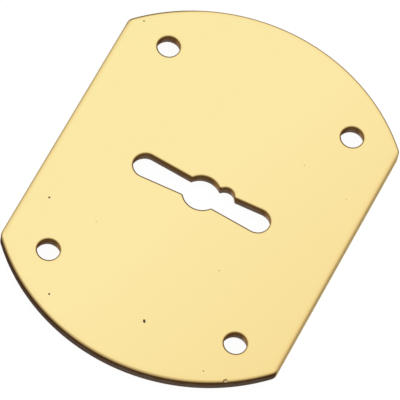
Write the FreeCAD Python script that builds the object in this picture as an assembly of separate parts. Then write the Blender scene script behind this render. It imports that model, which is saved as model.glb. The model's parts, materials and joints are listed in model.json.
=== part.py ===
"""Keyhole escutcheon for a double-bitted key: one flat brass plate.

The plate is a round disc with two opposite sides cut straight. It lies on its back.
The origin is the centre of the back face, +X runs along the keyhole, +Y along the
straight sides and +Z out of the polished front face. All sizes are in millimetres.
"""
import FreeCAD, Part
import math
import os

# Plate
plate_diameter = 79.8         # of the round disc, over the crowns of its curved ends
plate_width = 59.1            # across the two straight sides
plate_thickness = 2.8
corner_radius = 2.0           # between a straight side and a curved end
rolled_edge = 0.45            # buffed roll round the front of the outline

# Screw holes
hole_diameter = 4.4
hole_side_margin = 9.55       # from a straight side in to the centre of a hole
hole_rim_margin = 7.73        # from the disc's round edge in to the centre of a hole

# Keyhole
keyhole_length = 29.0         # over the round ends of the two arms
barrel_diameter = 7.3         # middle hole that the key's barrel passes
arm_end_width = 5.0           # each arm ends in a full round of this width
arm_root_width = 3.75         # arm width carried in to the middle of the barrel hole
lobe_diameter = 3.3           # side lobe, so that the key goes in one way round only
lobe_x = 4.3                  # centre of the lobe from the middle of the barrel hole
lobe_y = 1.8
notch_radius = 0.65           # rounding between the barrel hole and the lobe
arm_corner_radius = 0.5       # rounding where an arm leaves the barrel hole or the lobe

# Punched walls of the holes and the keyhole
pierced_edge = 0.22           # buffed break round the front
breakout_share = 0.55         # lower share of the thickness, where the torn wall leans outwards
breakout_flare = 0.25         # how far the wall has leaned out at the back

# Modelling values
cut_overrun = 1.0             # how far a cutter passes each face of the plate
sharp_angle = math.radians(8.0)
flat_tolerance = 1e-4


def plate_outline():
    """Closed wire of the disc's two curved ends and the straight sides between them."""
    radius = plate_diameter / 2.0
    half_width = plate_width / 2.0
    shoulder = math.sqrt(radius ** 2 - half_width ** 2)
    upper_right = FreeCAD.Vector(half_width, shoulder, 0)
    upper_left = FreeCAD.Vector(-half_width, shoulder, 0)
    lower_left = FreeCAD.Vector(-half_width, -shoulder, 0)
    lower_right = FreeCAD.Vector(half_width, -shoulder, 0)
    crown = FreeCAD.Vector(0, radius, 0)
    edges = [
        Part.LineSegment(lower_right, upper_right).toShape(),
        Part.Arc(upper_right, crown, upper_left).toShape(),
        Part.LineSegment(upper_left, lower_left).toShape(),
        Part.Arc(lower_left, crown * -1, lower_right).toShape(),
    ]
    return Part.Wire(edges)


def upright_prism(wire, bottom, top):
    """Solid between two levels with the wire as its section."""
    face = Part.Face(wire)
    face.translate(FreeCAD.Vector(0, 0, bottom))
    return face.extrude(FreeCAD.Vector(0, 0, top - bottom))


def is_upright(edge):
    """True for a straight edge that runs along Z."""
    if not isinstance(edge.Curve, Part.Line):
        return False
    return abs(abs(edge.Curve.Direction.z) - 1.0) < flat_tolerance


def sharp_upright_edges(solid):
    """Upright edges whose two faces meet at an angle instead of running on smoothly."""
    found = []
    for edge in solid.Edges:
        if not is_upright(edge):
            continue
        middle = edge.valueAt((edge.FirstParameter + edge.LastParameter) / 2.0)
        faces = solid.ancestorsOfType(edge, Part.Face)
        if len(faces) != 2:
            continue
        normals = [face.normalAt(*face.Surface.parameter(middle)) for face in faces]
        if normals[0].getAngle(normals[1]) > sharp_angle:
            found.append(edge)
    return found


def rounded(solid, radius):
    """The solid with its sharp upright edges rounded."""
    return solid.makeFillet(radius, sharp_upright_edges(solid))


def plate_blank():
    """Flat plate with round corners, before anything is pierced."""
    prism = upright_prism(plate_outline(), 0.0, plate_thickness)
    return rounded(prism, corner_radius)


def round_cutter(diameter, x, y):
    """Upright cylinder that passes both faces of the plate."""
    start = FreeCAD.Vector(x, y, -cut_overrun)
    height = plate_thickness + 2.0 * cut_overrun
    return Part.makeCylinder(diameter / 2.0, height, start)


def screw_hole_cutters():
    """Four cylinders, each set in from a straight side and from the disc's round edge."""
    centre_x = plate_width / 2.0 - hole_side_margin
    centre_radius = plate_diameter / 2.0 - hole_rim_margin
    centre_y = math.sqrt(centre_radius ** 2 - centre_x ** 2)
    cutters = []
    for side_x in (-1, 1):
        for side_y in (-1, 1):
            cutters.append(round_cutter(hole_diameter, side_x * centre_x, side_y * centre_y))
    return cutters


def arm_cutter(side):
    """One arm of the keyhole: it widens outwards and its sides run into a full round end."""
    end_r = arm_end_width / 2.0
    root_half = arm_root_width / 2.0
    end_x = keyhole_length / 2.0 - end_r
    # slope that makes each side of the arm tangent to the round end
    reach = math.hypot(end_x, root_half)
    slope = math.asin(end_r / reach) - math.atan2(root_half, end_x)
    touch_x = end_x - end_r * math.sin(slope)
    touch_y = end_r * math.cos(slope)
    root_top = FreeCAD.Vector(0, root_half, 0)
    root_bottom = FreeCAD.Vector(0, -root_half, 0)
    touch_top = FreeCAD.Vector(side * touch_x, touch_y, 0)
    touch_bottom = FreeCAD.Vector(side * touch_x, -touch_y, 0)
    tip = FreeCAD.Vector(side * (end_x + end_r), 0, 0)
    wire = Part.Wire([
        Part.LineSegment(root_bottom, touch_bottom).toShape(),
        Part.Arc(touch_bottom, tip, touch_top).toShape(),
        Part.LineSegment(touch_top, root_top).toShape(),
        Part.LineSegment(root_top, root_bottom).toShape(),
    ])
    return upright_prism(wire, -cut_overrun, plate_thickness + cut_overrun)


def notch_web():
    """Web that joins the barrel hole to the lobe above it with a round notch."""
    barrel_centre = FreeCAD.Vector(0, 0, 0)
    lobe_centre = FreeCAD.Vector(lobe_x, lobe_y, 0)
    # the notch's own circle touches both round holes from outside
    from_barrel = barrel_diameter / 2.0 + notch_radius
    from_lobe = lobe_diameter / 2.0 + notch_radius
    span = lobe_centre.Length
    along = (from_barrel ** 2 - from_lobe ** 2 + span ** 2) / (2.0 * span)
    aside = math.sqrt(from_barrel ** 2 - along ** 2)
    axis = lobe_centre / span
    upward = FreeCAD.Vector(-axis.y, axis.x, 0)
    notch_centre = axis * along + upward * aside
    triangle = Part.makePolygon([barrel_centre, lobe_centre, notch_centre, barrel_centre])
    web = upright_prism(triangle, -cut_overrun, plate_thickness + cut_overrun)
    return web.cut(round_cutter(2.0 * notch_radius, notch_centre.x, notch_centre.y))


def keyhole_cutter():
    """Barrel hole and side lobe joined at a round notch, with an arm to each side."""
    barrel = round_cutter(barrel_diameter, 0.0, 0.0)
    lobe = round_cutter(lobe_diameter, lobe_x, lobe_y)
    pieces = [lobe, notch_web(), arm_cutter(-1), arm_cutter(1)]
    return rounded(barrel.fuse(pieces).removeSplitter(), arm_corner_radius)


def front_face(solid):
    """The flat face at the top of the plate."""
    flats = [f for f in solid.Faces if isinstance(f.Surface, Part.Plane)]
    return max(flats, key=lambda f: f.BoundBox.ZMin)


def back_face(solid):
    """The flat face at the bottom of the plate."""
    flats = [f for f in solid.Faces if isinstance(f.Surface, Part.Plane)]
    return min(flats, key=lambda f: f.BoundBox.ZMax)


def opening_edges(face):
    """Edges of the openings in a flat face, without its outline."""
    outer = face.OuterWire
    edges = []
    for wire in face.Wires:
        if not wire.isSame(outer):
            edges.extend(wire.Edges)
    return edges


def with_front_edges_rolled(solid):
    """Outline rolled by the larger radius, then each pierced opening by the smaller."""
    rolled = solid.makeFillet(rolled_edge, front_face(solid).OuterWire.Edges)
    return rolled.makeFillet(pierced_edge, opening_edges(front_face(rolled)))


def with_openings_flared(solid):
    """Each opening widened towards the back, where the punch broke out of the sheet."""
    height = plate_thickness * breakout_share
    return solid.makeChamfer(height, breakout_flare, opening_edges(back_face(solid)))


def escutcheon_plate():
    """The finished plate: one solid, with its outline upright and sharp-edged at the back."""
    pierced = plate_blank().cut(screw_hole_cutters() + [keyhole_cutter()])
    rolled = with_front_edges_rolled(pierced.Solids[0])
    return with_openings_flared(rolled)


os.makedirs("parts", exist_ok=True)
plate = escutcheon_plate()
plate.exportStep("parts/escutcheon_plate.step")
print("escutcheon_plate valid", plate.isValid(), "volume", round(plate.Volume, 2))
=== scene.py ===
"""Look of a keyhole escutcheon: one polished brass plate on a plain pale floor.

Lengths are in metres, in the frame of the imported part. The plate lies on its back on z = 0, with +X along
the keyhole towards its side lobe, +Y along the straight sides and +Z out of the polished front face.
"""

import json
import logging
import math
from dataclasses import dataclass
from enum import Enum
from typing import Any

import bpy
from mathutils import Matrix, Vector


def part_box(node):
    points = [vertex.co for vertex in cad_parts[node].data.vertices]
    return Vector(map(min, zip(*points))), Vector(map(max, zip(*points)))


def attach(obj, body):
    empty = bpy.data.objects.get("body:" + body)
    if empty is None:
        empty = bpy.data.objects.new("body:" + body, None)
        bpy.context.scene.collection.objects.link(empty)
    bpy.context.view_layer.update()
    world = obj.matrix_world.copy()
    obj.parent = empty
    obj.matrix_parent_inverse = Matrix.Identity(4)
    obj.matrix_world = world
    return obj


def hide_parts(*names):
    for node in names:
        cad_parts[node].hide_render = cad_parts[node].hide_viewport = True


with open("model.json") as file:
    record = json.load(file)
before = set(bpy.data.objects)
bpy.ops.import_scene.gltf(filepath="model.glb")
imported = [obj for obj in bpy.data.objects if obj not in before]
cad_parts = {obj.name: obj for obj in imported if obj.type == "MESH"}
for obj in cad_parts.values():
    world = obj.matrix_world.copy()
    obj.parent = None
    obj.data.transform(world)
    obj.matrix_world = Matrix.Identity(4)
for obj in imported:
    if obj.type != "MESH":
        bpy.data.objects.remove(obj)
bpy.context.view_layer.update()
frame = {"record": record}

NODE = "escutcheon_plate"
BODY = "root"
MM = 0.001
QUARTER_TURN = math.pi / 2
TORN_SHARE = 0.55             # share of the plate's thickness that tears under the punch

# Names of the surface attributes that the plate's tree stores and its finishes read
NEAR_EDGE = "near_edge"       # 0 on the open face, 1 where the roll of an edge begins
ROLL_TURN = "roll_turn"       # 0 where a roll begins, 1 where it has turned down into the wall
PIERCED = "pierced"           # 0 along the outline, 1 along the openings
FACING = "facing"             # 1 where an edge looks towards +Y, -1 where it looks towards -Y
SIDEWAYS = "sideways"         # 1 where an edge looks towards +X, -1 where it looks towards -X
PIT_STAIN = "pit_stain"       # how dark the grime in a pit is

# Names of the attributes that place the pits
PIT_TURN = "pit_turn"
PIT_SIZE = "pit_size"

log = logging.getLogger("escutcheon")


class Turn(Enum):
    """Way that an arc goes round, seen from above."""

    LEFT = 1
    RIGHT = -1


class NodeSketch:
    """Adds nodes to one tree and joins them by the names of their sockets."""

    def __init__(self, tree: bpy.types.NodeTree) -> None:
        """Keeps the tree that is drawn in."""
        self.tree = tree

    def feed(self, socket: bpy.types.NodeSocket, value: Any) -> None:
        """Links an output to the socket, or writes a plain value on it.

        Args:
            socket: Input that is fed.
            value: An output socket, a plain value, or a list of outputs for a socket that takes several.
        """
        for item in value if isinstance(value, list) else [value]:
            if isinstance(item, bpy.types.NodeSocket):
                self.tree.links.new(item, socket)
            else:
                socket.default_value = item

    def node(self, kind: str, inputs: dict[Any, Any] | None = None, **settings: Any) -> bpy.types.Node:
        """Adds one node.

        Args:
            kind: The node's type.
            inputs: Value or output for each input, by its name or number.
            settings: Properties of the node itself.

        Returns:
            The new node.
        """
        made = self.tree.nodes.new(kind)
        for name, value in settings.items():
            setattr(made, name, value)
        for key, value in (inputs or {}).items():
            self.feed(made.inputs[key], value)
        return made

    def math(self, operation: str, *values: Any, clamp: bool = False) -> bpy.types.NodeSocket:
        """Adds a sum of numbers.

        Args:
            operation: The Math node's operation.
            values: Its operands, as numbers or outputs.
            clamp: Whether the result is held between 0 and 1.

        Returns:
            The result.
        """
        inputs = dict(enumerate(values))
        return self.node("ShaderNodeMath", inputs, operation=operation, use_clamp=clamp).outputs[0]

    def mix(self, factor: Any, first: Any, second: Any, blend: str = "MIX") -> bpy.types.NodeSocket:
        """Adds a mix of two colours.

        Args:
            factor: Share of the second colour.
            first: The colour at 0.
            second: The colour at 1.
            blend: How the two are mixed.

        Returns:
            The mixed colour.
        """
        inputs = {0: factor, 6: first, 7: second}
        return self.node("ShaderNodeMix", inputs, data_type="RGBA", blend_type=blend).outputs[2]

    def along(self, vector: Any, direction: Any) -> bpy.types.NodeSocket:
        """Length of a vector along a direction."""
        inputs = {0: vector, 1: direction}
        return self.node("ShaderNodeVectorMath", inputs, operation="DOT_PRODUCT").outputs["Value"]

    def scaled(self, vector: Any, factor: Any) -> bpy.types.NodeSocket:
        """Vector or colour times a number."""
        inputs = {"Vector": vector, "Scale": factor}
        return self.node("ShaderNodeVectorMath", inputs, operation="SCALE").outputs["Vector"]


class GeometryTree(NodeSketch):
    """A tree of geometry nodes with named inputs and outputs."""

    def __init__(self, name: str) -> None:
        """Makes the empty tree with its input and output nodes.

        Args:
            name: Name of the tree.
        """
        super().__init__(bpy.data.node_groups.new(name, "GeometryNodeTree"))
        self.inlet = self.tree.nodes.new("NodeGroupInput")
        self.outlet = self.tree.nodes.new("NodeGroupOutput")

    def input(self, name: str, kind: str) -> bpy.types.NodeSocket:
        """Adds a named input and returns the output socket that gives it inside the tree."""
        self.tree.interface.new_socket(name, in_out="INPUT", socket_type="NodeSocket" + kind)
        return self.inlet.outputs[name]

    def output(self, name: str, value: bpy.types.NodeSocket) -> None:
        """Adds a named geometry output and feeds it."""
        self.tree.interface.new_socket(name, in_out="OUTPUT", socket_type="NodeSocketGeometry")
        self.feed(self.outlet.inputs[name], value)

    def identifier(self, name: str) -> str:
        """Identifier of a named input, by which a modifier knows it."""
        return next(item.identifier for item in self.tree.interface.items_tree
                    if item.name == name and item.in_out == "INPUT")

    def group(self, other: "GeometryTree", inputs: dict[str, Any]) -> bpy.types.Node:
        """Uses another tree inside this one.

        Args:
            other: The tree that is used.
            inputs: Value or output for each of its inputs.

        Returns:
            The group node.
        """
        made = self.tree.nodes.new("GeometryNodeGroup")
        made.node_tree = other.tree
        for name, value in inputs.items():
            self.feed(made.inputs[name], value)
        return made

    def attribute(self, name: str, kind: str = "FLOAT") -> bpy.types.NodeSocket:
        """Reads a named attribute of the surface or points."""
        return self.node("GeometryNodeInputNamedAttribute", {"Name": name}, data_type=kind).outputs["Attribute"]

    def store(self, geometry: bpy.types.NodeSocket, name: str, value: Any) -> bpy.types.NodeSocket:
        """Stores a number on every point.

        Args:
            geometry: Mesh or curve whose points are marked.
            name: Name of the attribute.
            value: The number, or an output that gives it at each point.

        Returns:
            The marked geometry.
        """
        inputs = {"Geometry": geometry, "Name": name, "Value": value}
        made = self.node("GeometryNodeStoreNamedAttribute", inputs, data_type="FLOAT", domain="POINT")
        return made.outputs["Geometry"]

    def join(self, *parts: bpy.types.NodeSocket) -> bpy.types.NodeSocket:
        """Joins several geometries into one."""
        return self.node("GeometryNodeJoinGeometry", {"Geometry": list(parts)}).outputs["Geometry"]

    def dressed(self, geometry: bpy.types.NodeSocket, material: Any, where: Any = True) -> bpy.types.NodeSocket:
        """Gives the selected faces a material and returns the geometry."""
        inputs = {"Geometry": geometry, "Selection": where, "Material": material}
        return self.node("GeometryNodeSetMaterial", inputs).outputs["Geometry"]

    def lifted(self, geometry: bpy.types.NodeSocket, height: Any) -> bpy.types.NodeSocket:
        """Moves the geometry up.

        Args:
            geometry: What is moved.
            height: How far, as a number or an output.

        Returns:
            The moved geometry.
        """
        shift = self.node("ShaderNodeCombineXYZ", {"Z": height}).outputs[0]
        inputs = {"Geometry": geometry, "Translation": shift}
        return self.node("GeometryNodeTransform", inputs).outputs["Geometry"]

    def filled(self, loops: bpy.types.NodeSocket) -> bpy.types.NodeSocket:
        """Fills the area between flat closed loops with triangles."""
        return self.node("GeometryNodeFillCurve", {"Curve": loops}, mode="TRIANGLES").outputs["Mesh"]


class Trace:
    """A flat closed line of arcs, with straight runs wherever one arc doesn't meet the next."""

    SAME_POINT = 1e-3             # share of a step within which two points are taken as one

    def __init__(self, step: float, straight_step: float, largest_turn: float) -> None:
        """Starts an empty line.

        Args:
            step: Longest stretch between two points of an arc.
            straight_step: Longest stretch between two points of a straight run.
            largest_turn: Largest turn from one point of an arc to the next, in radians.
        """
        self.step = step
        self.straight_step = straight_step
        self.largest_turn = largest_turn
        self.points: list[Vector] = []

    def add(self, point: Vector) -> None:
        """Adds a point, with more before it where it lies further off than a straight step.

        Args:
            point: The new point.
        """
        if not self.points:
            self.points.append(point)
            return
        last = self.points[-1]
        gap = (point - last).length
        if gap < self.step * self.SAME_POINT:
            return
        count = math.ceil(gap / self.straight_step)
        self.points.extend(last.lerp(point, (index + 1) / count) for index in range(count))

    def arc(self, centre: Vector, radius: float, start: float, end: float, turn: Turn) -> None:
        """Adds an arc.

        Args:
            centre: Centre of the arc.
            radius: Its radius.
            start: Direction of its first point from the centre, in radians.
            end: Direction of its last point.
            turn: Way that it goes round.
        """
        sweep = (turn.value * (end - start)) % math.tau
        count = max(math.ceil(sweep * radius / self.step), math.ceil(sweep / self.largest_turn))
        for index in range(count + 1):
            angle = start + turn.value * sweep * index / count
            self.add(centre + radius * Vector((math.cos(angle), math.sin(angle), 0.0)))

    def close(self) -> None:
        """Fills the last straight run back to the first point."""
        first = self.points[0]
        self.add(first)
        if (self.points[-1] - first).length < self.step * self.SAME_POINT:
            self.points.pop()

    def curve_object(self, name: str) -> bpy.types.Object:
        """Makes a closed curve of the points, as a helper object.

        Args:
            name: Name of the helper.

        Returns:
            The curve object.
        """
        curve = bpy.data.curves.new(name, "CURVE")
        curve.dimensions = "3D"
        spline = curve.splines.new("POLY")
        spline.points.add(len(self.points) - 1)
        for corner, point in zip(spline.points, self.points):
            corner.co = (*point, 1.0)
        spline.use_cyclic_u = True
        helper = bpy.data.objects.new(name, curve)
        bpy.context.scene.collection.objects.link(helper)
        return helper


def heading(vector: Vector) -> float:
    """Direction of a flat vector, in radians."""
    return math.atan2(vector.y, vector.x)


@dataclass
class EdgeNick:
    """Small knock in the rolled edge of the outline, with a painted shadow curving round it and a painted highlight
    inside.
    """

    place: Vector
    reach: float = 0.5 * MM
    depth: float = 0.2 * MM
    painted_marks_outset: float = 0.35 * MM

    def outwards(self) -> Vector:
        """Flat direction out of the plate at the nick."""
        return Vector((self.place.x, self.place.y, 0.0)).normalized()

    def painted_marks_centre(self) -> tuple[float, float, float]:
        """Centre of the painted shadow and highlight, just outside the plate."""
        return tuple(self.place + self.outwards() * self.painted_marks_outset)


@dataclass
class PlateOutline:
    """Round disc with two straight sides and rounded corners."""

    diameter: float
    width: float
    corner_radius: float = 2.0 * MM
    point_step: float = 0.3 * MM
    straight_step: float = 1.0 * MM
    largest_turn: float = math.radians(3.0)

    def helper(self) -> bpy.types.Object:
        """Draws the outline, with its metal on the left.

        Returns:
            The closed curve.
        """
        reach = self.diameter / 2 - self.corner_radius
        across = self.width / 2 - self.corner_radius
        along = math.sqrt(reach ** 2 - across ** 2)
        shoulder = math.atan2(along, across)
        trace = Trace(self.point_step, self.straight_step, self.largest_turn)
        for side in (1, -1):
            start = 0.0 if side > 0 else math.pi
            right = Vector((side * across, side * along, 0.0))
            left = Vector((-side * across, side * along, 0.0))
            trace.arc(right, self.corner_radius, start, start + shoulder, Turn.LEFT)
            trace.arc(Vector(), self.diameter / 2, start + shoulder, start + math.pi - shoulder, Turn.LEFT)
            trace.arc(left, self.corner_radius, start + math.pi - shoulder, start + math.pi, Turn.LEFT)
        trace.close()
        return trace.curve_object("outline")


@dataclass
class Keyhole:
    """Keyhole for a double-bitted key: a barrel hole with a side lobe and two arms."""

    length: float = 29.0 * MM
    barrel_diameter: float = 7.3 * MM
    arm_end_width: float = 5.0 * MM
    arm_root_width: float = 3.75 * MM
    lobe_diameter: float = 3.3 * MM
    lobe_x: float = 4.3 * MM
    lobe_y: float = 1.8 * MM
    notch_radius: float = 0.65 * MM
    corner_radius: float = 0.5 * MM
    point_step: float = 0.2 * MM
    straight_step: float = 0.6 * MM
    largest_turn: float = math.radians(5.0)

    def arm_slope(self) -> float:
        """Works out how far the sides of an arm lean, so that they run into its round end.

        Returns:
            Angle at which each side widens outwards, in radians.
        """
        end_radius = self.arm_end_width / 2
        root_half = self.arm_root_width / 2
        end_x = self.length / 2 - end_radius
        return math.asin(end_radius / math.hypot(end_x, root_half)) - math.atan2(root_half, end_x)

    def corner_centre(self, hole: Vector, radius: float) -> Vector:
        """Centre of the rounding between a round hole and the upper side of the right arm.

        Args:
            hole: Centre of the round hole.
            radius: Its radius.

        Returns:
            The rounding's centre.
        """
        slope = self.arm_slope()
        level = self.arm_root_width / 2 + self.corner_radius / math.cos(slope)
        rise = math.tan(slope)
        # the centre is where a line beside the arm crosses a circle round the hole
        drop = level - hole.y
        squared = 1 + rise ** 2
        middle = (hole.x - rise * drop) / squared
        spread = (hole.x ** 2 + drop ** 2 - (radius + self.corner_radius) ** 2) / squared
        x = middle + math.sqrt(middle ** 2 - spread)
        return Vector((x, level + rise * x, 0.0))

    def notch_centre(self, lobe: Vector) -> Vector:
        """Centre of the rounding that touches the barrel hole and the lobe from above.

        Args:
            lobe: Centre of the lobe.

        Returns:
            The rounding's centre.
        """
        from_barrel = self.barrel_diameter / 2 + self.notch_radius
        from_lobe = self.lobe_diameter / 2 + self.notch_radius
        span = lobe.length
        along = (from_barrel ** 2 - from_lobe ** 2 + span ** 2) / (2 * span)
        aside = math.sqrt(from_barrel ** 2 - along ** 2)
        axis = lobe / span
        return axis * along + Vector((-axis.y, axis.x, 0.0)) * aside

    def helper(self) -> bpy.types.Object:
        """Draws the keyhole, with the metal round it on the left.

        Returns:
            The closed curve.
        """
        slope = self.arm_slope()
        end_radius = self.arm_end_width / 2
        end = Vector((self.length / 2 - end_radius, 0.0, 0.0))
        barrel = Vector()
        barrel_radius = self.barrel_diameter / 2
        lobe = Vector((self.lobe_x, self.lobe_y, 0.0))
        notch = self.notch_centre(lobe)
        corner = self.corner_centre(barrel, barrel_radius)
        upper_left = Vector((-corner.x, corner.y, 0.0))
        lower_right = Vector((corner.x, -corner.y, 0.0))
        lower_left = -corner
        upper_right = self.corner_centre(lobe, self.lobe_diameter / 2)
        up = QUARTER_TURN
        trace = Trace(self.point_step, self.straight_step, self.largest_turn)
        trace.arc(-end, end_radius, -up + slope, up - slope, Turn.RIGHT)
        trace.arc(upper_left, self.corner_radius, -up - slope, heading(-upper_left), Turn.LEFT)
        trace.arc(barrel, barrel_radius, heading(upper_left), heading(notch), Turn.RIGHT)
        trace.arc(notch, self.notch_radius, heading(-notch), heading(lobe - notch), Turn.LEFT)
        trace.arc(lobe, self.lobe_diameter / 2, heading(notch - lobe), heading(upper_right - lobe), Turn.RIGHT)
        trace.arc(upper_right, self.corner_radius, heading(lobe - upper_right), -up + slope, Turn.LEFT)
        trace.arc(end, end_radius, up + slope, -up - slope, Turn.RIGHT)
        trace.arc(lower_right, self.corner_radius, up - slope, heading(-lower_right), Turn.LEFT)
        trace.arc(barrel, barrel_radius, heading(lower_right), heading(lower_left), Turn.RIGHT)
        trace.arc(lower_left, self.corner_radius, heading(-lower_left), up + slope, Turn.LEFT)
        trace.close()
        return trace.curve_object("keyhole")


@dataclass
class ScrewHoles:
    """Four plain round holes on a rectangle."""

    spacing_x: float
    spacing_y: float
    radius: float
    points_round: int = 88


@dataclass
class PunchedEdge:
    """Section through the edge of the outline or of an opening.

    From the open face it runs over a flat band and a buffed roll, down the sheared wall and down the torn wall,
    which leans into the metal by the flare.
    """

    band: float
    roll: float
    torn_height: float
    flare: float
    pierced: float


@dataclass
class PitMark:
    """One small pit in the polished face."""

    x: float
    y: float
    half_length: float
    half_width: float
    turn: float
    depth: float
    stain: float


class PunchedEdgeTree(GeometryTree):
    """Sweeps an edge's section along closed rails that lie on z = 0."""

    STRETCHES = 4                 # band, roll, sheared wall and torn wall

    def __init__(self, steps_each: int) -> None:
        """Draws the tree.

        Args:
            steps_each: Steps in each stretch of the section.
        """
        super().__init__("punched_edge")
        self.rail = self.input("Rail", "Geometry")
        self.band = self.input("Band", "Float")
        self.roll = self.input("Roll", "Float")
        self.torn_height = self.input("Torn Height", "Float")
        self.flare = self.input("Flare", "Float")
        self.pierced = self.input("Pierced", "Float")
        self.thickness = self.input("Thickness", "Float")
        upright = {"Curve": self.rail}
        self.rail = self.node("GeometryNodeSetCurveNormal", upright, mode="Z_UP").outputs["Curve"]
        outwards = self.node("GeometryNodeInputNormal").outputs["Normal"]
        looks = self.node("ShaderNodeSeparateXYZ", {"Vector": outwards}).outputs
        marked = self.store(self.store(self.rail, FACING, looks["Y"]), SIDEWAYS, looks["X"])
        swept = {"Curve": marked, "Profile Curve": self.section(steps_each)}
        wall = self.node("GeometryNodeCurveToMesh", swept).outputs["Mesh"]
        self.output("Wall", self.lifted(self.store(wall, PIERCED, self.pierced), self.thickness))
        self.output("Front Loop", self.loop_inside(self.band))
        self.output("Back Loop", self.loop_inside(self.flare))

    def section(self, steps_each: int) -> bpy.types.NodeSocket:
        """Draws the section, from the open face over the roll and down both walls.

        Args:
            steps_each: Steps in each of its stretches.

        Returns:
            The section curve.
        """
        line = self.node("GeometryNodeCurvePrimitiveLine", {"End": (1.0, 0.0, 0.0)}).outputs["Curve"]
        count = {"Curve": line, "Count": self.STRETCHES * steps_each + 1}
        line = self.node("GeometryNodeResampleCurve", count).outputs["Curve"]
        share = self.node("GeometryNodeSplineParameter").outputs["Factor"]
        along = self.math("MULTIPLY", share, float(self.STRETCHES))
        on_first, on_roll, on_sheared, on_torn = (
            self.math("SUBTRACT", along, float(stretch), clamp=True) for stretch in range(self.STRETCHES))
        # the steps over the band get shorter towards the roll
        left = self.math("SUBTRACT", 1.0, on_first)
        on_band = self.math("SUBTRACT", 1.0, self.math("MULTIPLY", left, left))
        angle = self.math("MULTIPLY", on_roll, QUARTER_TURN)
        flat = self.math("MULTIPLY", self.math("SUBTRACT", self.band, self.roll), on_band)
        out = self.math("MULTIPLY", self.roll, self.math("SINE", angle))
        x = self.math("SUBTRACT", self.math("ADD", flat, out), self.band)
        x = self.math("SUBTRACT", x, self.math("MULTIPLY", self.flare, on_torn))
        bend = self.math("MULTIPLY", self.roll, self.math("SUBTRACT", 1.0, self.math("COSINE", angle)))
        sheared = self.math("SUBTRACT", self.math("SUBTRACT", self.thickness, self.roll), self.torn_height)
        fall = self.math("ADD", bend, self.math("MULTIPLY", sheared, on_sheared))
        fall = self.math("ADD", fall, self.math("MULTIPLY", self.torn_height, on_torn))
        marked = self.store(self.store(line, NEAR_EDGE, on_band), ROLL_TURN, on_roll)
        position = self.node("ShaderNodeCombineXYZ", {"X": x, "Y": fall}).outputs[0]
        return self.node("GeometryNodeSetPosition", {"Geometry": marked, "Position": position}).outputs["Geometry"]

    def loop_inside(self, distance: bpy.types.NodeSocket) -> bpy.types.NodeSocket:
        """Moves the rail into the metal.

        Args:
            distance: How far.

        Returns:
            The moved rail.
        """
        outwards = self.node("GeometryNodeInputNormal").outputs["Normal"]
        offset = self.scaled(outwards, self.math("MULTIPLY", distance, -1.0))
        moved = {"Geometry": self.rail, "Offset": offset}
        return self.node("GeometryNodeSetPosition", moved).outputs["Geometry"]


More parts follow.
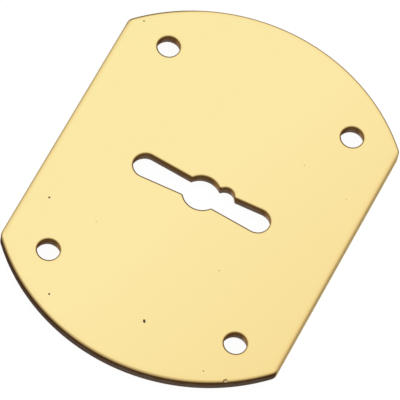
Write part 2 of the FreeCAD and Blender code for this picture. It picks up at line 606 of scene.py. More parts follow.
class PlateTree(GeometryTree):
    """Builds the whole plate from its outline, its keyhole, its screw holes and its pits."""

    EDGE_STEPS = 8                # steps in each stretch of an edge's section
    PIT_POINTS = 28               # points round a pit
    PIT_RINGS = 6                 # steps from a pit's rim to its middle
    WALL_STARTS = 0.999           # turn of the roll past which a face belongs to the wall
    WELD = 5e-7                   # metres within which two points are joined

    def __init__(self, screw_hole_points: int) -> None:
        """Draws the tree.

        Args:
            screw_hole_points: Points round each screw hole.
        """
        super().__init__("escutcheon_plate")
        outline = self.helper_input("Outline")
        keyhole = self.helper_input("Keyhole")
        pits = self.helper_input("Pits")
        thickness = self.input("Thickness", "Float")
        holes = self.screw_holes(screw_hole_points)
        face = self.input("Face Finish", "Material")
        wall = self.input("Wall Finish", "Material")
        back = self.input("Back Finish", "Material")
        grime = self.input("Pit Finish", "Material")

        section = PunchedEdgeTree(self.EDGE_STEPS)
        outer = self.edge(section, "Outline", outline, thickness)
        inner = self.edge(section, "Opening", self.join(keyhole, holes), thickness)
        walls = self.dressed(self.join(outer["Wall"], inner["Wall"]), face)
        turned = {0: self.attribute(ROLL_TURN), 1: self.WALL_STARTS}
        upright = self.node("FunctionNodeCompare", turned, data_type="FLOAT", operation="GREATER_THAN")
        walls = self.dressed(walls, wall, upright.outputs["Result"])

        rims, bowls = self.pits(pits)
        front_cap = self.filled(self.join(outer["Front Loop"], inner["Front Loop"], rims))
        front = self.dressed(self.lifted(front_cap, thickness), face)
        bowls = self.dressed(self.lifted(bowls, thickness), grime)
        back_cap = self.filled(self.join(outer["Back Loop"], inner["Back Loop"]))
        back_cap = self.node("GeometryNodeFlipFaces", {"Mesh": back_cap}).outputs["Mesh"]
        whole = self.join(walls, front, bowls, self.dressed(back_cap, back))
        whole = self.node("GeometryNodeRealizeInstances", {"Geometry": whole}).outputs["Geometry"]
        welded = self.node("GeometryNodeMergeByDistance", {"Geometry": whole, "Distance": self.WELD})
        knocked = self.nicked(welded.outputs["Geometry"])
        smooth = self.node("GeometryNodeSetShadeSmooth", {"Geometry": knocked}).outputs["Geometry"]
        self.output("Plate", self.tidied(smooth))

    def edge(self, section: PunchedEdgeTree, name: str, rail: bpy.types.NodeSocket,
             thickness: bpy.types.NodeSocket) -> dict[str, bpy.types.NodeSocket]:
        """Sweeps one kind of edge and gives the tree an input for each of its sizes.

        Args:
            section: Tree that sweeps the section.
            name: Name of the edge, which starts the names of its inputs.
            rail: Closed curves that it runs along.
            thickness: Thickness of the plate.

        Returns:
            The outputs of the sweep, by name.
        """
        sizes = {size: self.input(f"{name} {size}", "Float")
                 for size in ("Band", "Roll", "Torn Height", "Flare", "Pierced")}
        return self.group(section, {"Rail": rail, "Thickness": thickness, **sizes}).outputs

    def tidied(self, geometry: bpy.types.NodeSocket) -> bpy.types.NodeSocket:
        """Drops the attributes that only placed the pits.

        Args:
            geometry: The plate.

        Returns:
            The plate without them.
        """
        for name in (PIT_TURN, PIT_SIZE):
            inputs = {"Geometry": geometry, "Name": name}
            geometry = self.node("GeometryNodeRemoveAttribute", inputs).outputs["Geometry"]
        return geometry

    def helper_input(self, name: str) -> bpy.types.NodeSocket:
        """Adds an input for a helper object and returns that object's geometry."""
        return self.node("GeometryNodeObjectInfo", {"Object": self.input(name, "Object")}).outputs["Geometry"]

    def screw_holes(self, points_round: int) -> bpy.types.NodeSocket:
        """Draws the rims of the four screw holes.

        Args:
            points_round: Points in each rim.

        Returns:
            Their circles, with the metal on the left.
        """
        radius = self.input("Hole Radius", "Float")
        spacing = {"Size X": self.input("Hole Spacing X", "Float"),
                   "Size Y": self.input("Hole Spacing Y", "Float"), "Vertices X": 2, "Vertices Y": 2}
        grid = self.node("GeometryNodeMeshGrid", spacing).outputs["Mesh"]
        round_rim = {"Resolution": points_round, "Radius": radius}
        circle = self.node("GeometryNodeCurvePrimitiveCircle", round_rim).outputs["Curve"]
        circle = self.node("GeometryNodeReverseCurve", {"Curve": circle}).outputs["Curve"]
        placed = self.node("GeometryNodeInstanceOnPoints", {"Points": grid, "Instance": circle})
        return self.node("GeometryNodeRealizeInstances", {"Geometry": placed.outputs[0]}).outputs["Geometry"]

    def pits(self, points: bpy.types.NodeSocket) -> tuple[bpy.types.NodeSocket, bpy.types.NodeSocket]:
        """Sets a rim and a bowl on each pit's point.

        Args:
            points: Points that carry each pit's turn, size and stain.

        Returns:
            The rims as loops and the bowls as meshes.
        """
        turn = self.node("ShaderNodeCombineXYZ", {"Z": self.attribute(PIT_TURN)}).outputs[0]
        turn = self.node("FunctionNodeEulerToRotation", {"Euler": turn}).outputs[0]
        size = self.attribute(PIT_SIZE, "FLOAT_VECTOR")
        circle = {"Resolution": self.PIT_POINTS, "Radius": 1.0}
        circle = self.node("GeometryNodeCurvePrimitiveCircle", circle).outputs["Curve"]
        section = {"Start": (-1.0, 0.0, 0.0), "End": (0.0, 0.0, 0.0)}
        section = self.node("GeometryNodeCurvePrimitiveLine", section).outputs["Curve"]
        section = {"Curve": section, "Count": self.PIT_RINGS + 1}
        section = self.node("GeometryNodeResampleCurve", section).outputs["Curve"]
        along = self.node("GeometryNodeSplineParameter").outputs["Factor"]
        depth = self.math("SUBTRACT", 1.0, self.math("MULTIPLY", along, along))
        sunk = self.node("ShaderNodeCombineXYZ", {"Y": depth}).outputs[0]
        section = self.node("GeometryNodeSetPosition", {"Geometry": section, "Offset": sunk}).outputs["Geometry"]
        rail = self.node("GeometryNodeSetCurveNormal", {"Curve": circle}, mode="Z_UP").outputs["Curve"]
        bowl = self.node("GeometryNodeCurveToMesh", {"Curve": rail, "Profile Curve": section}).outputs["Mesh"]
        made = []
        for shape in (circle, bowl):
            inputs = {"Points": points, "Instance": shape, "Rotation": turn, "Scale": size}
            placed = self.node("GeometryNodeInstanceOnPoints", inputs).outputs[0]
            made.append(self.node("GeometryNodeRealizeInstances", {"Geometry": placed}).outputs["Geometry"])
        return made[0], made[1]

    def nicked(self, geometry: bpy.types.NodeSocket) -> bpy.types.NodeSocket:
        """Pushes the edge in round the nick.

        Args:
            geometry: The plate.

        Returns:
            The plate with its nick.
        """
        place = self.input("Nick Place", "Vector")
        reach = self.input("Nick Reach", "Float")
        push = self.input("Nick Push", "Vector")
        position = self.node("GeometryNodeInputPosition").outputs[0]
        away = self.node("ShaderNodeVectorMath", {0: position, 1: place}, operation="DISTANCE").outputs["Value"]
        near = self.math("SUBTRACT", 1.0, self.math("DIVIDE", away, reach), clamp=True)
        near = self.node("ShaderNodeMapRange", {"Value": near}, interpolation_type="SMOOTHSTEP").outputs[0]
        moved = {"Geometry": geometry, "Offset": self.scaled(push, near)}
        return self.node("GeometryNodeSetPosition", moved).outputs["Geometry"]


Colour = tuple[float, float, float, float]
Ramp = tuple[tuple[float, Colour], ...]
Span = tuple[float, float]
Direction = tuple[float, float, float]


@dataclass(frozen=True)
class Grain:
    """Random pattern: its patches to a metre, how fine its detail is, and how close it is packed along each axis."""

    scale: float
    detail: float
    packing: Direction = (1.0, 1.0, 1.0)


@dataclass(frozen=True)
class Relief:
    """Strength and depth at which a pattern stands out of the surface."""

    strength: float
    depth: float


class Finish:
    """Base of every finish: makes a material and wires its surface."""

    name = "finish"
    PATTERN_SPAN: Span = (0.3, 0.7)
    STRAIGHT_SPAN: Span = (0.1, 0.4)

    def material(self) -> bpy.types.Material:
        """Makes the material.

        Returns:
            The new material, with a Principled shader wired by the finish.
        """
        made = bpy.data.materials.new(self.name)
        made.use_nodes = True
        sketch = NodeSketch(made.node_tree)
        shader = made.node_tree.nodes["Principled BSDF"]
        self.wire(sketch, shader)
        return made

    def wire(self, sketch: NodeSketch, shader: bpy.types.Node) -> None:
        """Wires the finish to the shader."""
        raise NotImplementedError

    @staticmethod
    def place(sketch: NodeSketch) -> bpy.types.NodeSocket:
        """Place on the piece."""
        return sketch.node("ShaderNodeTexCoord").outputs["Object"]

    @staticmethod
    def attribute(sketch: NodeSketch, name: str) -> bpy.types.NodeSocket:
        """Number stored on the surface under a name."""
        return sketch.node("ShaderNodeAttribute", attribute_name=name).outputs["Fac"]

    @classmethod
    def pattern(cls, sketch: NodeSketch, grain: Grain) -> bpy.types.NodeSocket:
        """Draws a soft random pattern.

        Args:
            sketch: Sketch of the material.
            grain: Size and shape of the pattern.

        Returns:
            The pattern, which lies mostly within PATTERN_SPAN.
        """
        packed = {"Vector": cls.place(sketch), "Scale": grain.packing}
        packed = sketch.node("ShaderNodeMapping", packed).outputs["Vector"]
        inputs = {"Vector": packed, "Scale": grain.scale, "Detail": grain.detail}
        return sketch.node("ShaderNodeTexNoise", inputs).outputs["Fac"]

    @staticmethod
    def spread(sketch: NodeSketch, value: bpy.types.NodeSocket, low: float, high: float,
               to_low: Any = 0.0, to_high: Any = 1.0, smooth: bool = False) -> bpy.types.NodeSocket:
        """Carries a number from one range to another.

        Args:
            sketch: Sketch of the material.
            value: The number.
            low: Start of the range that it comes from.
            high: End of that range.
            to_low: Start of the range that it goes to, as a number or an output.
            to_high: End of that range.
            smooth: Whether it eases in and out.

        Returns:
            The number in its new range, held between its ends.
        """
        inputs = {"Value": value, "From Min": low, "From Max": high, "To Min": to_low, "To Max": to_high}
        kind = "SMOOTHSTEP" if smooth else "LINEAR"
        return sketch.node("ShaderNodeMapRange", inputs, interpolation_type=kind).outputs[0]

    @staticmethod
    def emboss(sketch: NodeSketch, shader: bpy.types.Node, height: bpy.types.NodeSocket, relief: Relief) -> None:
        """Wires a pattern to the shader as relief."""
        bump = {"Height": height, "Strength": relief.strength, "Distance": relief.depth}
        sketch.feed(shader.inputs["Normal"], sketch.node("ShaderNodeBump", bump).outputs["Normal"])

    @staticmethod
    def ramp(sketch: NodeSketch, value: bpy.types.NodeSocket, stops: Ramp) -> bpy.types.NodeSocket:
        """Colour at a number between 0 and 1.

        Args:
            sketch: Sketch of the material.
            value: The number.
            stops: Place and colour of each stop, in order.

        Returns:
            The colour.
        """
        made = sketch.node("ShaderNodeValToRGB", {"Fac": value})
        elements = made.color_ramp.elements
        elements[0].position, elements[0].color = stops[0]
        elements[1].position, elements[1].color = stops[-1]
        for position, colour in stops[1:-1]:
            elements.new(position).color = colour
        return made.outputs["Color"]

    @classmethod
    def on_straight_side(cls, sketch: NodeSketch) -> bpy.types.NodeSocket:
        """Marks the edges along the plate's straight sides.

        Args:
            sketch: Sketch of the material.

        Returns:
            1 along the straight sides and 0 along every other edge.
        """
        turned_away = sketch.math("ABSOLUTE", cls.attribute(sketch, FACING))
        straight = cls.spread(sketch, turned_away, *cls.STRAIGHT_SPAN, 1.0, 0.0, smooth=True)
        return sketch.math("SUBTRACT", straight, cls.attribute(sketch, PIERCED), clamp=True)


@dataclass(frozen=True)
class PolishedBrass(Finish):
    """Buffed and lacquered front, whose tone carries painted light: paler towards -X and +Y and deeper towards +X
    and -Y, and darkened by painted shade and painted dark reflections on the way round its edges.

    The edge ramps hold a stop for each step of the way: 0 on the open face, about 0.5 where the roll begins and
    about 1 where it meets the wall. Their colours darken the open face's tone as painted shade. Each reach draws out
    the way by the side to which the edge faces: its numbers are a level, a lean with FACING, a bow with its square
    and a lean with SIDEWAYS, so the painted shade falls unevenly by side. Near the corner towards -X and +Y the
    painted shade reaches a little further.
    """

    nick_centre: Direction
    name: str = "polished_brass_face"
    # pale, body and deep: tones of the painted light gradient across the face; deep also tints the clouds
    pale: Colour = (0.705, 0.597, 0.280, 1.0)
    body: Colour = (0.715, 0.591, 0.281, 1.0)
    deep: Colour = (0.678, 0.535, 0.229, 1.0)
    # painted shade and painted dark reflections along the curved parts of the outline
    curved_edge_shade: Ramp = ((0.0, (1.0, 1.0, 1.0, 1.0)), (0.25, (0.99, 0.98, 0.965, 1.0)),
                         (0.5, (1.0, 0.96, 0.92, 1.0)), (0.62, (0.84, 0.73, 0.65, 1.0)),
                         (0.75, (0.33, 0.257, 0.185, 1.0)), (0.88, (0.13, 0.095, 0.053, 1.0)),
                         (1.0, (0.10, 0.065, 0.036, 1.0)))
    # lighter painted shade along the straight sides
    straight_edge_shade: Ramp = ((0.0, (1.0, 1.0, 1.0, 1.0)), (0.2, (0.99, 0.965, 0.95, 1.0)),
                           (0.33, (0.965, 0.92, 0.87, 1.0)), (0.48, (0.92, 0.85, 0.79, 1.0)),
                           (0.62, (0.87, 0.78, 0.71, 1.0)), (0.75, (0.66, 0.58, 0.51, 1.0)),
                           (0.88, (0.42, 0.375, 0.33, 1.0)), (1.0, (0.33, 0.30, 0.265, 1.0)))
    # painted shade along the rims of the openings
    opening_edge: Ramp = ((0.0, (1.0, 1.0, 1.0, 1.0)), (0.25, (0.90, 0.86, 0.82, 1.0)),
                          (0.4, (0.66, 0.57, 0.48, 1.0)), (0.55, (0.27, 0.20, 0.13, 1.0)),
                          (0.75, (0.14, 0.10, 0.06, 1.0)), (1.0, (0.13, 0.08, 0.045, 1.0)))
    outline_shade_reach: tuple[float, float, float, float] = (0.495, 0.075, 0.0, -0.022)
    opening_shade_reach: tuple[float, float, float, float] = (0.42, 0.175, 0.105, 0.02)
    # the painted shade reaches further near the corner towards -X and +Y
    shade_corner_side: Direction = (-0.69, 0.72, 0.0)
    shade_corner_span: Span = (37.2 * MM, 39.0 * MM)
    shade_corner_reach: float = 0.095
    nick_ring: float = 0.52 * MM
    nick_side: Direction = (-0.87, -0.49, 0.0)
    painted_shadow_span: Span = (0.06 * MM, 0.16 * MM)
    painted_shadow_starts: Span = (-0.3 * MM, -0.1 * MM)
    # colour of the painted shadow round the nick
    painted_shadow: Colour = (0.16, 0.10, 0.04, 1.0)
    # colour of the painted highlight inside the nick
    painted_glint_span: Span = (0.26 * MM, 0.4 * MM)
    painted_glint: Colour = (0.45, 0.34, 0.18, 1.0)
    painted_light_slant: Direction = (0.94, -0.34, 0.0)
    painted_light_slant_span: Span = (-38.0 * MM, 38.0 * MM)
    clouds: Grain = Grain(70.0, 2.0)
    cloud_depth: float = 0.05
    brushing: Grain = Grain(420.0, 4.0, (1.0, 22.0, 1.0))
    relief: Relief = Relief(0.12, 0.02 * MM)
    roughness: Span = (0.18, 0.27)
    grazing: Colour = (0.86, 0.72, 0.46, 1.0)
    coat: float = 0.12
    coat_roughness: float = 0.12

    def wire(self, sketch: NodeSketch, shader: bpy.types.Node) -> None:
        """Wires the tone, the polishing marks and the lacquer.

        Args:
            sketch: Sketch of the material.
            shader: Its shader.
        """
        # painted light: the tone runs from pale to deep across the face
        along = self.spread(sketch, sketch.along(self.place(sketch), self.painted_light_slant), *self.painted_light_slant_span)
        tone = self.ramp(sketch, along, ((0.0, self.pale), (0.5, self.body), (1.0, self.deep)))
        clouds = self.pattern(sketch, self.clouds)
        veil = self.spread(sketch, clouds, *self.PATTERN_SPAN, 0.0, self.cloud_depth)
        tone = sketch.mix(veil, tone, self.deep)
        # painted shade round every edge
        tone = sketch.mix(1.0, tone, self.edge_shade(sketch), "MULTIPLY")
        sketch.feed(shader.inputs["Base Color"], self.with_nick(sketch, tone))

        brushed = self.pattern(sketch, self.brushing)
        rough = self.spread(sketch, brushed, *self.PATTERN_SPAN, *self.roughness)
        sketch.feed(shader.inputs["Roughness"], rough)
        self.emboss(sketch, shader, brushed, self.relief)
        shader.inputs["Metallic"].default_value = 1.0
        shader.inputs["Specular Tint"].default_value = self.grazing
        shader.inputs["Coat Weight"].default_value = self.coat
        shader.inputs["Coat Roughness"].default_value = self.coat_roughness

    def edge_shade(self, sketch: NodeSketch) -> bpy.types.NodeSocket:
        """Works out the painted shade by which an edge darkens the face's tone.

        Args:
            sketch: Sketch of the material.

        Returns:
            The colour that the tone is multiplied by.
        """
        pierced = self.attribute(sketch, PIERCED)
        way = sketch.math("ADD", self.attribute(sketch, NEAR_EDGE), self.attribute(sketch, ROLL_TURN))
        facing = self.attribute(sketch, FACING)
        level, lean, bow, side = (self.spread(sketch, pierced, 0.0, 1.0, outline, opening)
                                  for outline, opening in zip(self.outline_shade_reach, self.opening_shade_reach))
        level = sketch.math("MULTIPLY_ADD", self.attribute(sketch, SIDEWAYS), side, level)
        reach = sketch.math("MULTIPLY_ADD", facing, sketch.math("MULTIPLY_ADD", facing, bow, lean), level)
        # painted shade: reaches further near one corner
        towards_corner = sketch.along(self.place(sketch), self.shade_corner_side)
        corner_shade = self.spread(sketch, towards_corner, *self.shade_corner_span, 0.0, self.shade_corner_reach, smooth=True)
        way = sketch.math("MULTIPLY", way, sketch.math("ADD", reach, corner_shade))
        curved = self.ramp(sketch, way, self.curved_edge_shade)
        straight = self.ramp(sketch, way, self.straight_edge_shade)
        outline = sketch.mix(self.on_straight_side(sketch), curved, straight)
        return sketch.mix(pierced, outline, self.ramp(sketch, way, self.opening_edge))

    def with_nick(self, sketch: NodeSketch, tone: bpy.types.NodeSocket) -> bpy.types.NodeSocket:
        """Adds the nick's painted shadow and the painted highlight inside it.

        Args:
            sketch: Sketch of the material.
            tone: Tone of the metal without them.

        Returns:
            The tone with both.
        """
        inputs = {0: self.place(sketch), 1: self.nick_centre}
        apart = sketch.node("ShaderNodeVectorMath", inputs, operation="SUBTRACT").outputs[0]
        inputs = {0: apart, 1: (1.0, 1.0, 0.0)}
        apart = sketch.node("ShaderNodeVectorMath", inputs, operation="MULTIPLY").outputs[0]
        away = sketch.node("ShaderNodeVectorMath", {0: apart}, operation="LENGTH").outputs["Value"]
        # painted shadow: a dark ring round the nick, on one side of it only
        beside = self.spread(sketch, sketch.along(apart, self.nick_side), *self.painted_shadow_starts, smooth=True)
        painted_shadow = sketch.math("ABSOLUTE", sketch.math("SUBTRACT", away, self.nick_ring))
        painted_shadow = self.spread(sketch, painted_shadow, *self.painted_shadow_span, 1.0, 0.0, smooth=True)
        painted_shadow = sketch.math("MULTIPLY", painted_shadow, beside)
        # painted highlight inside the nick
        painted_glint = self.spread(sketch, away, *self.painted_glint_span, 1.0, 0.0, smooth=True)
        return sketch.mix(painted_glint, sketch.mix(painted_shadow, tone, self.painted_shadow), self.painted_glint)


@dataclass(frozen=True)
class PunchedWall(Finish):
    """Wall that the punch left: sheared above and torn below, paler along the straight sides.

    In the openings it is brighter, and painted light makes it brighter still on the walls that face one side.
    """

    thickness: float
    torn_height: float
    name: str = "punched_brass_wall"
    upper: Colour = (0.108, 0.066, 0.031, 1.0)
    lower: Colour = (0.149, 0.119, 0.098, 1.0)
    side_upper: Colour = (0.66, 0.52, 0.235, 1.0)
    side_lower: Colour = (0.74, 0.605, 0.30, 1.0)
    scored: Colour = (0.90, 0.885, 0.87, 1.0)
    grazing: Colour = (0.25, 0.18, 0.14, 1.0)
    opening_gain: float = 1.62
    painted_light_side: Direction = (-0.87, -0.49, 0.0)
    painted_light_span: Span = (0.55, 1.0)
    painted_light_gain: float = 4.5
    waver: Grain = Grain(500.0, 2.0)
    waver_share: float = 0.12
    blend_share: float = 0.15
    streaks: Grain = Grain(2600.0, 3.0, (1.0, 1.0, 0.06))
    relief: Relief = Relief(0.3, 0.03 * MM)
    roughness: Span = (0.42, 0.6)

    def wire(self, sketch: NodeSketch, shader: bpy.types.Node) -> None:
        """Wires the wall's tones and the upright marks of the punch.

        Args:
            sketch: Sketch of the material.
            shader: Its shader.
        """
        sheared = self.sheared_share(sketch)
        tone = sketch.scaled(sketch.mix(sheared, self.lower, self.upper), self.gain(sketch))
        side = sketch.mix(sheared, self.side_lower, self.side_upper)
        tone = sketch.mix(self.on_straight_side(sketch), tone, side)
        streaks = self.pattern(sketch, self.streaks)
        tone = sketch.mix(self.spread(sketch, streaks, *self.PATTERN_SPAN), tone, self.scored, "MULTIPLY")
        sketch.feed(shader.inputs["Base Color"], tone)
        rough = self.spread(sketch, streaks, *self.PATTERN_SPAN, *self.roughness)
        sketch.feed(shader.inputs["Roughness"], rough)
        self.emboss(sketch, shader, streaks, self.relief)
        shader.inputs["Metallic"].default_value = 1.0
        shader.inputs["Specular Tint"].default_value = self.grazing

    def sheared_share(self, sketch: NodeSketch) -> bpy.types.NodeSocket:
        """Marks the sheared upper part of the wall, down to a wavering line.

        Args:
            sketch: Sketch of the material.

        Returns:
            1 on the sheared part and 0 on the torn part.
        """
        height = sketch.node("ShaderNodeSeparateXYZ", {"Vector": self.place(sketch)}).outputs["Z"]
        waver = self.spread(sketch, self.pattern(sketch, self.waver), *self.PATTERN_SPAN,
                            -self.waver_share, self.waver_share)
        level = sketch.math("ADD", sketch.math("DIVIDE", height, self.thickness), waver)
        middle = self.torn_height / self.thickness
        return self.spread(sketch, level, middle - self.blend_share, middle + self.blend_share, smooth=True)

    def gain(self, sketch: NodeSketch) -> bpy.types.NodeSocket:
        """Works out how much brighter the wall is in the openings, with painted light added on the walls that face
        one side.

        Args:
            sketch: Sketch of the material.

        Returns:
            The factor that its tone is multiplied by.
        """
        looks = {"X": self.attribute(sketch, SIDEWAYS), "Y": self.attribute(sketch, FACING)}
        # painted light: opening walls that face one side are made brighter still
        towards = sketch.along(sketch.node("ShaderNodeCombineXYZ", looks).outputs[0], self.painted_light_side)
        in_opening = self.spread(sketch, towards, *self.painted_light_span, self.opening_gain, self.painted_light_gain,
                                 smooth=True)
        return self.spread(sketch, self.attribute(sketch, PIERCED), 0.0, 1.0, 1.0, in_opening)


@dataclass(frozen=True)
class RolledBack(Finish):
    """Back of the sheet as it left the rolling mill: duller, with long straight grain."""

    name: str = "rolled_brass_back"
    light: Colour = (0.78, 0.62, 0.29, 1.0)
    dark: Colour = (0.72, 0.56, 0.25, 1.0)
    rolling: Grain = Grain(45.0, 6.0, (24.0, 1.0, 1.0))
    blotches: Grain = Grain(110.0, 3.0)
    blotch_span: Span = (0.45, 0.75)
    blotch_depth: float = 0.4
    relief: Relief = Relief(0.2, 0.02 * MM)
    roughness: Span = (0.35, 0.46)

    def wire(self, sketch: NodeSketch, shader: bpy.types.Node) -> None:
        """Wires the grain of the sheet and its blotches.

        Args:
            sketch: Sketch of the material.
            shader: Its shader.
        """
        rolled = self.pattern(sketch, self.rolling)
        tone = sketch.mix(self.spread(sketch, rolled, *self.PATTERN_SPAN), self.light, self.dark)
        blotches = self.pattern(sketch, self.blotches)
        blotches = self.spread(sketch, blotches, *self.blotch_span, 0.0, self.blotch_depth, smooth=True)
        sketch.feed(shader.inputs["Base Color"], sketch.mix(blotches, tone, self.dark))
        rough = self.spread(sketch, rolled, *self.PATTERN_SPAN, *self.roughness)
        sketch.feed(shader.inputs["Roughness"], rough)
        self.emboss(sketch, shader, rolled, self.relief)
        shader.inputs["Metallic"].default_value = 1.0


@dataclass(frozen=True)
class PitGrime(Finish):
    """Dark polishing dirt caught in the pits."""

    name: str = "pit_grime"
    metal: Colour = (0.80, 0.60, 0.25, 1.0)
    grime: Colour = (0.035, 0.020, 0.010, 1.0)
    crumbs: Grain = Grain(9000.0, 2.0)
    crumb_span: Span = (0.25, 0.6)
    cover: Span = (0.8, 1.0)
    roughness: float = 0.6

    def wire(self, sketch: NodeSketch, shader: bpy.types.Node) -> None:
        """Wires each pit's own share of grime.

        Args:
            sketch: Sketch of the material.
            shader: Its shader.
        """
        crumbs = self.spread(sketch, self.pattern(sketch, self.crumbs), *self.crumb_span, *self.cover)
        share = sketch.math("MULTIPLY", self.attribute(sketch, PIT_STAIN), crumbs, clamp=True)
        sketch.feed(shader.inputs["Base Color"], sketch.mix(share, self.metal, self.grime))
        sketch.feed(shader.inputs["Metallic"], sketch.math("SUBTRACT", 1.0, share))
        shader.inputs["Roughness"].default_value = self.roughness


@dataclass
class EscutcheonPlate:
    """The brass plate, with its keyhole, screw holes, rolled edges, pits and nick."""

    outline: PlateOutline
    thickness: float
    screw_holes: ScrewHoles
    keyhole: Keyhole
    outline_edge: PunchedEdge
    opening_edge: PunchedEdge
    pits: list[PitMark]
    nick: EdgeNick
    crease_angle: float = math.radians(15.0)

    def pit_points(self) -> bpy.types.Object:
        """Makes one point for each pit, with the pit's turn, size and stain.

        Returns:
            The helper object.
        """
        mesh = bpy.data.meshes.new("pits")
        mesh.from_pydata([(pit.x, pit.y, 0.0) for pit in self.pits], [], [])
        for name, kind in ((PIT_TURN, "FLOAT"), (PIT_SIZE, "FLOAT_VECTOR"), (PIT_STAIN, "FLOAT")):
            mesh.attributes.new(name, kind, "POINT")
        for index, pit in enumerate(self.pits):
            mesh.attributes[PIT_TURN].data[index].value = pit.turn
            mesh.attributes[PIT_SIZE].data[index].vector = (pit.half_length, pit.half_width, pit.depth)
            mesh.attributes[PIT_STAIN].data[index].value = pit.stain
        helper = bpy.data.objects.new("pits", mesh)
        bpy.context.scene.collection.objects.link(helper)
        return helper

    @staticmethod
    def drop_empty_slots(mesh: bpy.types.Mesh) -> None:
        """Drops a mesh's empty material slots and keeps the finish of each face.

        Args:
            mesh: The mesh.
        """
        kept = [material for material in mesh.materials if material]
        places = [kept.index(mesh.materials[face.material_index]) for face in mesh.polygons]
        mesh.materials.clear()
        for material in kept:
            mesh.materials.append(material)
        mesh.polygons.foreach_set("material_index", places)

    @staticmethod
    def edge_values(name: str, edge: PunchedEdge) -> dict[str, float]:
        """Values for the tree's inputs that shape one kind of edge.

        Args:
            name: Name of the edge, which starts the names of its inputs.
            edge: The edge.

        Returns:
            The values by input name.
        """
        return {f"{name} Band": edge.band, f"{name} Roll": edge.roll, f"{name} Torn Height": edge.torn_height,
                f"{name} Flare": edge.flare, f"{name} Pierced": edge.pierced}

    def build(self) -> bpy.types.Object:
        """Builds the plate's mesh with its tree and dresses it.

        Returns:
            The finished piece.
        """
        helpers = {"Outline": self.outline.helper(), "Keyhole": self.keyhole.helper(),
                   "Pits": self.pit_points()}
        tree = PlateTree(self.screw_holes.points_round)
        push = (-self.nick.outwards() + Vector((0.0, 0.0, -1.0))).normalized() * self.nick.depth
        values = {
            **helpers,
            **self.edge_values("Outline", self.outline_edge),
            **self.edge_values("Opening", self.opening_edge),
            "Thickness": self.thickness,
            "Hole Radius": self.screw_holes.radius,
            "Hole Spacing X": self.screw_holes.spacing_x,
            "Hole Spacing Y": self.screw_holes.spacing_y,
            "Face Finish": PolishedBrass(self.nick.painted_marks_centre()).material(),
            "Wall Finish": PunchedWall(self.thickness, self.opening_edge.torn_height).material(),
            "Back Finish": RolledBack().material(),
            "Pit Finish": PitGrime().material(),
            "Nick Place": self.nick.place,
            "Nick Reach": self.nick.reach,
            "Nick Push": push,
        }
        plate = bpy.data.objects.new("brass_plate", bpy.data.meshes.new("brass_plate"))
        bpy.context.scene.collection.objects.link(plate)
        modifier = plate.modifiers.new("plate", "NODES")
        modifier.node_group = tree.tree
        for name, value in values.items():
            modifier[tree.identifier(name)] = value
        plate.update_tag()
        depsgraph = bpy.context.evaluated_depsgraph_get()
        mesh = bpy.data.meshes.new_from_object(plate.evaluated_get(depsgraph))
        plate.modifiers.clear()
        plate.data = mesh
        self.drop_empty_slots(mesh)
        mesh.set_sharp_from_angle(angle=self.crease_angle)
        for helper in helpers.values():
            bpy.data.objects.remove(helper)
        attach(plate, BODY)
        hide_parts(NODE)
        return plate


@dataclass(frozen=True)
class SoftLamp:
    """Soft square lamp that faces the plate: its place, the length of its side and its power in watts."""

    name: str
    place: tuple[float, float, float]
    side: float
    power: float

    def build(self) -> None:
        """Hangs the lamp."""
        light = bpy.data.lights.new(self.name, "AREA")
        light.size = self.side
        light.energy = self.power
        lamp = bpy.data.objects.new(self.name, light)
        lamp.location = self.place
        lamp.rotation_euler = Vector(self.place).to_track_quat("Z", "Y").to_euler()
        bpy.context.scene.collection.objects.link(lamp)


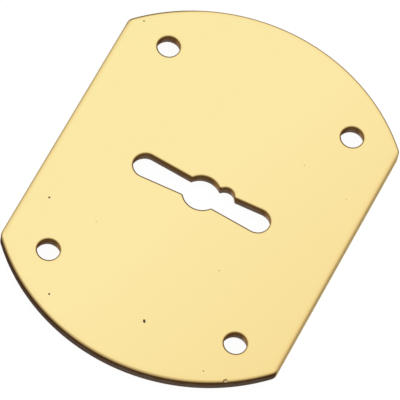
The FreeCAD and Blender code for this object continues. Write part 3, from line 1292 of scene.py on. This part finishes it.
@dataclass
class Studio:
    """Pale floor, soft lamps, white surroundings and the camera.

    The camera's turn is in degrees, and its lens and sensor are in millimetres.
    """

    floor_half: float = 3.0
    floor_drop: float = 0.02 * MM
    floor_grey: float = 0.8
    floor_glow: float = 0.94
    floor_shade: float = 0.12
    sky: float = 0.5
    key_lamp: SoftLamp = SoftLamp("key_lamp", (-0.17, 0.57, 1.16), 1.3, 2.0)
    fill_lamp: SoftLamp = SoftLamp("fill_lamp", (0.9, -0.2, 0.8), 1.5, 1.5)
    camera_place: tuple[float, float, float] = (0.128315, -0.436792, 0.890479)
    camera_turn: tuple[float, float, float] = (26.5723, -5.3521, 26.9389)
    lens: float = 468.2002
    sensor: float = 36.0

    @staticmethod
    def seen_or_mirrored(sketch: NodeSketch) -> bpy.types.NodeSocket:
        """Tells a ray from the camera or off a gloss from one that carries plain light.

        Args:
            sketch: Sketch of the material or of the world.

        Returns:
            1 for the first kind and 0 for the second.
        """
        path = sketch.node("ShaderNodeLightPath").outputs
        share = sketch.math("ADD", path["Is Camera Ray"], path["Is Glossy Ray"], clamp=True)
        return sketch.math("ADD", share, path["Is Transmission Ray"], clamp=True)

    def world(self) -> None:
        """Makes the surroundings: white to look at, and a plain even light."""
        world = bpy.data.worlds.new("studio")
        world.use_nodes = True
        bpy.context.scene.world = world
        sketch = NodeSketch(world.node_tree)
        strength = Finish.spread(sketch, self.seen_or_mirrored(sketch), 0.0, 1.0, self.sky, 1.0)
        sky = world.node_tree.nodes["Background"]
        sky.inputs["Color"].default_value = (1.0, 1.0, 1.0, 1.0)
        sketch.feed(sky.inputs["Strength"], strength)

    def floor_material(self) -> bpy.types.Material:
        """Makes the floor's material: near white where it is seen or mirrored, and clear from beneath.

        Returns:
            The material.
        """
        material = bpy.data.materials.new("pale_floor")
        material.use_nodes = True
        sketch = NodeSketch(material.node_tree)
        material.node_tree.nodes.remove(material.node_tree.nodes["Principled BSDF"])
        plain, faint = (sketch.node("ShaderNodeBsdfDiffuse", {"Color": (grey, grey, grey, 1.0)}).outputs[0]
                        for grey in (self.floor_grey, self.floor_shade))
        glow = sketch.node("ShaderNodeEmission", {"Strength": self.floor_glow}).outputs[0]
        shown = sketch.node("ShaderNodeAddShader", {0: faint, 1: glow}).outputs[0]
        inputs = {0: self.seen_or_mirrored(sketch), 1: plain, 2: shown}
        above = sketch.node("ShaderNodeMixShader", inputs).outputs[0]
        beneath = sketch.node("ShaderNodeNewGeometry").outputs["Backfacing"]
        inputs = {0: beneath, 1: above, 2: sketch.node("ShaderNodeBsdfTransparent").outputs[0]}
        surface = sketch.node("ShaderNodeMixShader", inputs).outputs[0]
        sketch.feed(material.node_tree.nodes["Material Output"].inputs["Surface"], surface)
        return material

    def floor(self) -> None:
        """Makes the floor, a hair below the plate, so that it keeps the plate's shadow."""
        half = self.floor_half
        mesh = bpy.data.meshes.new("floor")
        corners = [(x * half, y * half, -self.floor_drop) for x, y in ((-1, -1), (1, -1), (1, 1), (-1, 1))]
        mesh.from_pydata(corners, [], [(0, 1, 2, 3)])
        mesh.materials.append(self.floor_material())
        floor = bpy.data.objects.new("floor", mesh)
        bpy.context.scene.collection.objects.link(floor)

    def camera(self) -> None:
        """Makes the camera at the photograph's viewing angle."""
        data = bpy.data.cameras.new("camera")
        data.lens = self.lens
        data.sensor_width = self.sensor
        camera = bpy.data.objects.new("camera", data)
        camera.location = self.camera_place
        camera.rotation_euler = [math.radians(angle) for angle in self.camera_turn]
        bpy.context.scene.collection.objects.link(camera)
        bpy.context.scene.camera = camera

    def build(self) -> None:
        """Makes the whole studio."""
        bpy.context.scene.view_settings.view_transform = "Standard"
        self.world()
        self.floor()
        self.key_lamp.build()
        self.fill_lamp.build()
        self.camera()


def plate_from_frame() -> EscutcheonPlate:
    """Takes the plate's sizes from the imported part.

    Returns:
        The plate, not yet built.
    """
    low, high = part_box(NODE)
    width, length, thickness = high - low
    torn_height = TORN_SHARE * thickness
    pattern = next(mount for mount in frame["record"]["mounts"] if mount["name"] == "screw_holes")["dims"]
    outline_edge = PunchedEdge(band=1.15 * MM, roll=0.45 * MM, torn_height=torn_height, flare=0.0, pierced=0.0)
    opening_edge = PunchedEdge(band=0.45 * MM, roll=0.22 * MM, torn_height=torn_height, flare=0.25 * MM,
                               pierced=1.0)
    return EscutcheonPlate(
        outline=PlateOutline(diameter=length, width=width),
        thickness=thickness,
        screw_holes=ScrewHoles(spacing_x=pattern["spacing_x_mm"] * MM, spacing_y=pattern["spacing_y_mm"] * MM,
                               radius=pattern["hole_r_mm"] * MM),
        keyhole=Keyhole(),
        outline_edge=outline_edge,
        opening_edge=opening_edge,
        # place, half length, half width, turn, depth and stain of each pit
        pits=[
            PitMark(-26.77 * MM, 27.75 * MM, 0.17 * MM, 0.16 * MM, 0.8, 0.08 * MM, 1.0),
            PitMark(-25.0 * MM, -15.4 * MM, 0.23 * MM, 0.20 * MM, 0.4, 0.08 * MM, 1.0),
            PitMark(-15.53 * MM, -33.5 * MM, 0.22 * MM, 0.19 * MM, 1.1, 0.08 * MM, 1.0),
            PitMark(2.82 * MM, -29.66 * MM, 0.42 * MM, 0.26 * MM, -1.0, 0.10 * MM, 1.0),
            PitMark(17.33 * MM, -33.41 * MM, 0.17 * MM, 0.15 * MM, 0.0, 0.04 * MM, 0.5),
            PitMark(10.43 * MM, -13.17 * MM, 0.14 * MM, 0.12 * MM, 0.3, 0.04 * MM, 0.3),
            PitMark(-14.82 * MM, -15.49 * MM, 0.13 * MM, 0.11 * MM, 0.8, 0.04 * MM, 0.22),
            PitMark(14.63 * MM, 15.04 * MM, 0.13 * MM, 0.11 * MM, 0.2, 0.04 * MM, 0.25),
            PitMark(25.0 * MM, 12.48 * MM, 0.13 * MM, 0.11 * MM, 0.5, 0.04 * MM, 0.25),
        ],
        nick=EdgeNick(place=Vector((21.89 * MM, -33.05 * MM, thickness))),
    )


def main() -> None:
    """Builds the studio and the plate."""
    logging.basicConfig(level=logging.INFO, format="%(name)s: %(message)s")
    Studio().build()
    plate = plate_from_frame().build()
    log.info("%s: %d faces on body %s", plate.name, len(plate.data.polygons), BODY)


if __name__ == "__main__":
    main()
